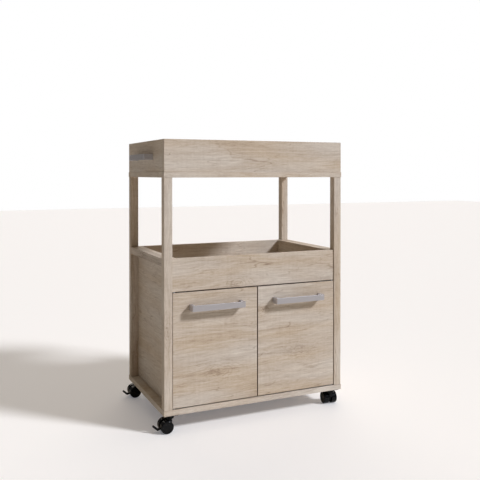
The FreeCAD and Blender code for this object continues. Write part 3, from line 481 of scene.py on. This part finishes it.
# Black dip paint, dark to light, and the size of its uneven patches, in millimetres.
DIP_PAINT = ((0.0, "#0a0a0b"), (1.0, "#161617"))
RUN_MM = (9, 9)
RUN_CONTRAST = 1.2
RUN_ROUGHNESS_SHARES = (-0.2, 0.2, 0.42, 0.55)


def dipped_black_steel(name):
    """Pressed steel, dip painted black.

    The eye meets a dark satin skin, a little uneven in gloss where the paint ran thin.
    """
    material, tree = start_material(name)
    run = mottle(tree, grain_place(tree, "XY", UNSHIFTED), RUN_MM)
    return finish_material(material, {
        "Base Color": tint(tree, run, RUN_CONTRAST, DIP_PAINT),
        "Roughness": add(tree, "ShaderNodeMapRange", [run, *RUN_ROUGHNESS_SHARES]),
        "IOR": 1.5,
    })


# Raw beech, dark to light, and the length and width of its flecks, in millimetres.
BEECH = ((0.0, "#a9805a"), (1.0, "#d3b08a"))
BEECH_FLECK_MM = (4, 0.7)
BEECH_FLECK_CONTRAST = 1.5


def turned_beech(name):
    """Beech rod, turned and left raw.

    The eye meets a pale pinkish brown with short darker flecks along the rod.
    """
    material, tree = start_material(name)
    fleck = mottle(tree, grain_place(tree, "XZ", UNSHIFTED), BEECH_FLECK_MM)
    return finish_material(material, {
        "Base Color": tint(tree, fleck, BEECH_FLECK_CONTRAST, BEECH),
        "Roughness": 0.6,
        "IOR": 1.45,
    })


def dress_all():
    """Gives every node of the frame its finish, in all its slots.

    Hinge leaves, pins, screws, axles and strike plates are what is left, and zinc plated.
    """
    zinc = zinc_plate("zinc_plated_steel")
    gloss_nylon = moulded_nylon("gloss_black_nylon", WHEEL_ROUGHNESS_SHARES)
    satin_nylon = moulded_nylon("satin_black_nylon", HOUSING_ROUGHNESS_SHARES)
    bars = {"door": satin_nickel("satin_nickel_door_bar", "XZ"),
            "tray": satin_nickel("satin_nickel_tray_bar", "YZ")}
    beech = turned_beech("raw_beech")
    painted = dipped_black_steel("dipped_black_steel")
    for node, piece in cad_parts.items():
        if node in OAK_CUTS:
            finish = sawn_oak_foil("sawn_oak_" + node, *OAK_CUTS[node])
        elif node in DOOR_CUTS:
            finish = edge_shaded_door("sawn_oak_" + node, *DOOR_CUTS[node])
        elif node == "cabinet_back":
            finish = hardboard("printed_hardboard", *BACK_CUT)
        elif node.endswith("_handle"):
            finish = bars["door" if "door" in node else "tray"]
        elif node.endswith("_wheel"):
            finish = gloss_nylon
        elif node == "dowels":
            finish = beech
        elif node.endswith("_caster_plate"):
            finish = painted
        elif node == "magnet_catches" or node.endswith(("_housing", "_lever")):
            finish = satin_nylon
        else:
            finish = zinc
        for slot in piece.material_slots:
            slot.material = finish


def make_floor():
    """Large studio floor, rolled with matt paint.

    The eye meets an even near-white on which only soft shadows show.
    """
    half = FLOOR_SIZE_MM * MM / 2
    corners = [(-half, -half, 0), (half, -half, 0), (half, half, 0), (-half, half, 0)]
    mesh = bpy.data.meshes.new("floor")
    mesh.from_pydata(corners, [], [range(len(corners))])
    floor = bpy.data.objects.new("floor", mesh)
    bpy.context.scene.collection.objects.link(floor)
    material, tree = start_material("painted_floor")
    rays = add(tree, "ShaderNodeLightPath")
    lift = add(tree, "ShaderNodeMath", [rays.outputs["Is Camera Ray"], FLOOR_LIFT], operation="MULTIPLY")
    mesh.materials.append(finish_material(material, {
        "Base Color": linear(FLOOR_COLOUR),
        "Roughness": 0.7,
        "Emission Color": linear(FLOOR_LIFT_COLOUR),
        "Emission Strength": lift,
    }))


def hang_lamp(name, way, strength, softness, colour):
    """A distant lamp that shines one way; a soft one has blurred shadows, like a large box."""
    light = bpy.data.lights.new(name, "SUN")
    light.energy = strength
    light.angle = math.radians(softness)
    light.color = linear(colour)[:3]
    lamp = bpy.data.objects.new(name, light)
    lamp.rotation_euler = Vector(way).to_track_quat("-Z", "Y").to_euler()
    bpy.context.scene.collection.objects.link(lamp)


def make_light():
    """A key from the right in front, wide boxes overhead and behind, and a fill seen as white."""
    hang_lamp("key", *KEY)
    hang_lamp("overhead", *OVERHEAD)
    hang_lamp("back", *BACK)
    world = bpy.data.worlds.new("studio")
    world.use_nodes = True
    tree = world.node_tree
    tree.nodes.clear()
    fill = add(tree, "ShaderNodeBackground", {"Color": linear(FILL_COLOUR), "Strength": FILL_STRENGTH})
    backdrop = add(tree, "ShaderNodeBackground", {"Color": linear(BACKDROP_COLOUR), "Strength": 1.0})
    rays = add(tree, "ShaderNodeLightPath")
    mixed = add(tree, "ShaderNodeMixShader", [rays.outputs["Is Camera Ray"], fill, backdrop])
    add(tree, "ShaderNodeOutputWorld", [mixed])
    bpy.context.scene.world = world


def make_camera():
    """The photo's camera: almost level, with its lens shifted down."""
    lens = bpy.data.cameras.new("camera")
    lens.sensor_width = SENSOR_MM
    lens.lens = FOCAL_PIXELS / PHOTO_SIZE * SENSOR_MM
    lens.shift_y = -(PHOTO_SIZE / 2 - AXIS_ROW) / PHOTO_SIZE
    camera = bpy.data.objects.new("camera", lens)
    camera.location = Vector(CAMERA_MM) * MM
    camera.rotation_euler = [math.radians(angle) for angle in (90 - CAMERA_TILT, 0, -CAMERA_TURN)]
    bpy.context.scene.collection.objects.link(camera)
    bpy.context.scene.camera = camera


dress_all()
make_floor()
make_light()
make_camera()
bpy.context.scene.view_settings.view_transform = "Standard"
